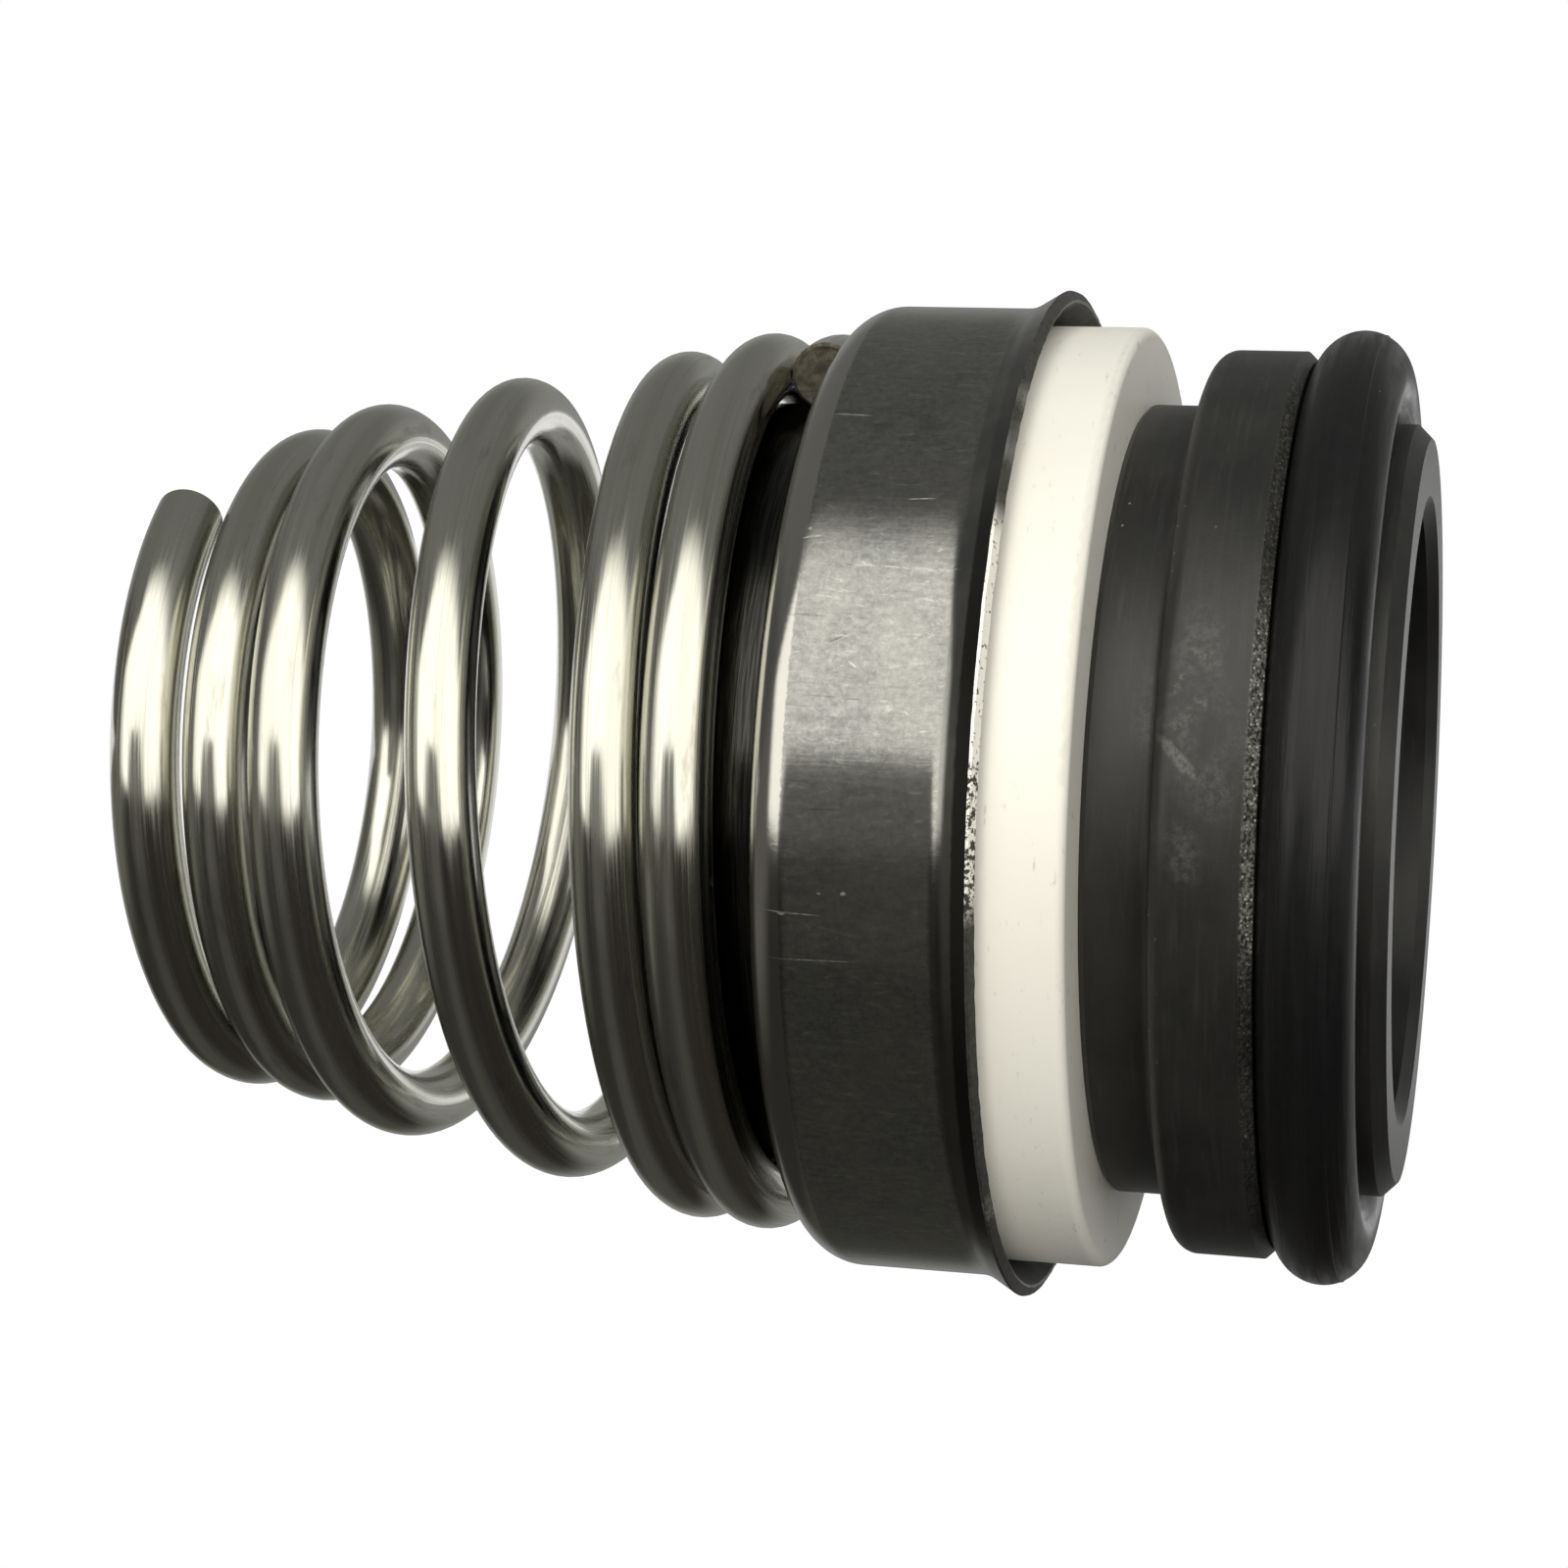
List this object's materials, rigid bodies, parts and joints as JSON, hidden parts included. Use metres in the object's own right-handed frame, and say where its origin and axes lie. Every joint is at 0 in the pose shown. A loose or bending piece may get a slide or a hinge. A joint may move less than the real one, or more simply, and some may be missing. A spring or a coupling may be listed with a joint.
{
  "type": "conical spring mechanical seal",
  "caption": "Mechanical shaft seal for a pump, with a conical coil spring, a drawn steel retainer, a white face ring and a dark stationary seat on an O-ring.",
  "frame": {"origin": "centre of the stationary seat's flat back face, on the shaft's axis", "axes": "+Z along the shaft's axis, from the stationary seat towards the spring's small end; the object is otherwise round about Z"},
  "size_m": [0.0448, 0.0448, 0.0556],
  "materials": {
    "spring_wire": "bright drawn stainless wire",
    "drawn_shell": "drawn stainless sheet, dull grey",
    "alumina": "white, lapped on its face",
    "seat_carbide": "matt dark grey, lapped on its face",
    "seal_rubber": "matt black, moulded"
  },
  "bodies": {
    "seat": {"seat_ring": "seat_carbide", "seat_o_ring": "seal_rubber"},
    "head": {"rotary_face_ring": "alumina", "retainer_shell": "drawn_shell", "shaft_o_ring": "seal_rubber"},
    "spring_end": {"conical_spring": "spring_wire"}
  },
  "joints": [
    {"name": "head_spin", "type": "hinge", "parent": "seat", "child": "head", "pos_m": [0, 0, 0.0122], "axis": [0, 0, 1], "continuous": true},
    {"name": "spring_compression", "type": "slide", "parent": "head", "child": "spring_end", "axis": [0, 0, -1], "range_m": [0, 0.008], "stiffness_N_per_m": 8200, "deforming": ["conical_spring"]}
  ]
}
